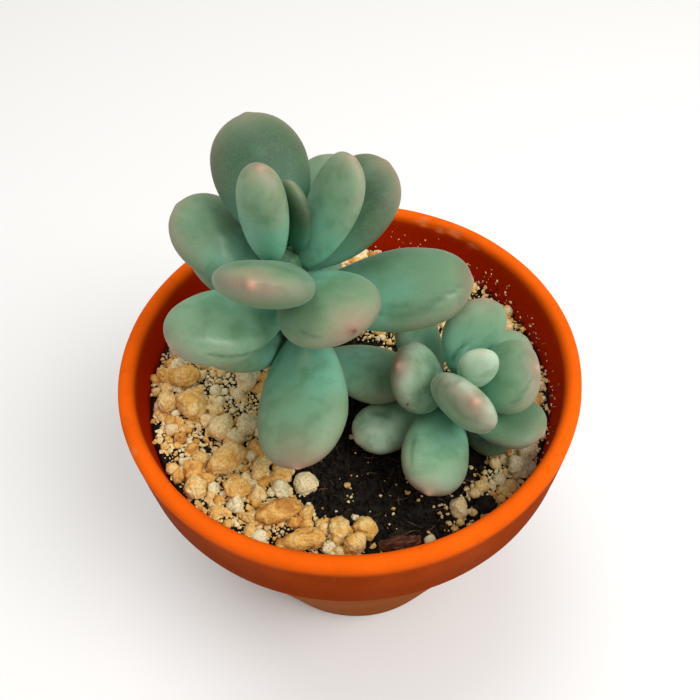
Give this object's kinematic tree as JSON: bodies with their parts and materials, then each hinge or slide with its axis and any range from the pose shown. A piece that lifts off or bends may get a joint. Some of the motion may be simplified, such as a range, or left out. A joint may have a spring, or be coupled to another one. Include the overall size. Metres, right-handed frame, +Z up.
{
  "type": "potted succulent",
  "caption": "Moonstone-type succulent with thick oval leaves on two stems, in a round tapered clay flowerpot with potting soil and a pumice top dressing.",
  "frame": {"origin": "centre of the pot's foot, on the surface the pot stands on", "axes": "+Z up along the pot's axis; -Y is the front, the side the plant is seen from; +X is to the right, where the smaller stem grows"},
  "size_m": [0.16, 0.16, 0.2146],
  "materials": {
    "terracotta": "matte unglazed clay",
    "potting_soil": "damp dark peat",
    "gravel": "small cream pumice granules",
    "pumice": "rough cream and ochre pumice",
    "bark": "dark fibrous bark",
    "stem": "matte fleshy stem",
    "main_leaf": "matte waxy bloom",
    "offset_leaf": "matte waxy bloom",
    "young_leaf": "matte waxy bloom, pale"
  },
  "bodies": {
    "root": {"bark_chip": "bark", "gravel_top_dressing": "gravel", "main_leaf_01": "main_leaf", "main_leaf_02": "main_leaf", "main_leaf_03": "main_leaf", "main_leaf_04": "main_leaf", "main_leaf_05": "main_leaf", "main_leaf_06": "main_leaf", "main_leaf_07": "main_leaf", "main_leaf_08": "main_leaf", "main_leaf_09": "main_leaf", "main_leaf_10": "main_leaf", "main_leaf_11": "main_leaf", "main_leaf_12": "main_leaf", "main_leaf_13": "main_leaf", "main_leaf_14": "main_leaf", "main_leaf_15": "main_leaf", "main_leaf_16": "main_leaf", "main_leaf_17": "main_leaf", "main_stem": "stem", "offset_leaf_01": "offset_leaf", "offset_leaf_02": "offset_leaf", "offset_leaf_03": "young_leaf", "offset_leaf_04": "offset_leaf", "offset_leaf_05": "offset_leaf", "offset_leaf_06": "offset_leaf", "offset_leaf_07": "offset_leaf", "offset_leaf_08": "offset_leaf", "offset_leaf_09": "offset_leaf", "offset_leaf_10": "offset_leaf", "offset_leaf_11": "offset_leaf", "offset_stem": "stem", "potting_soil": "potting_soil", "pumice_stone_01": "pumice", "pumice_stone_02": "pumice", "pumice_stone_03": "pumice", "pumice_stone_04": "pumice", "pumice_stone_05": "pumice", "pumice_stone_06": "pumice", "pumice_stone_07": "pumice", "pumice_stone_08": "pumice", "pumice_stone_09": "pumice", "pumice_stone_10": "pumice", "pumice_stone_11": "pumice", "pumice_stone_12": "pumice", "pumice_stone_13": "pumice", "pumice_stone_14": "pumice", "pumice_stone_15": "pumice", "pumice_stone_16": "pumice", "terracotta_pot": "terracotta"}
  },
  "joints": []
}
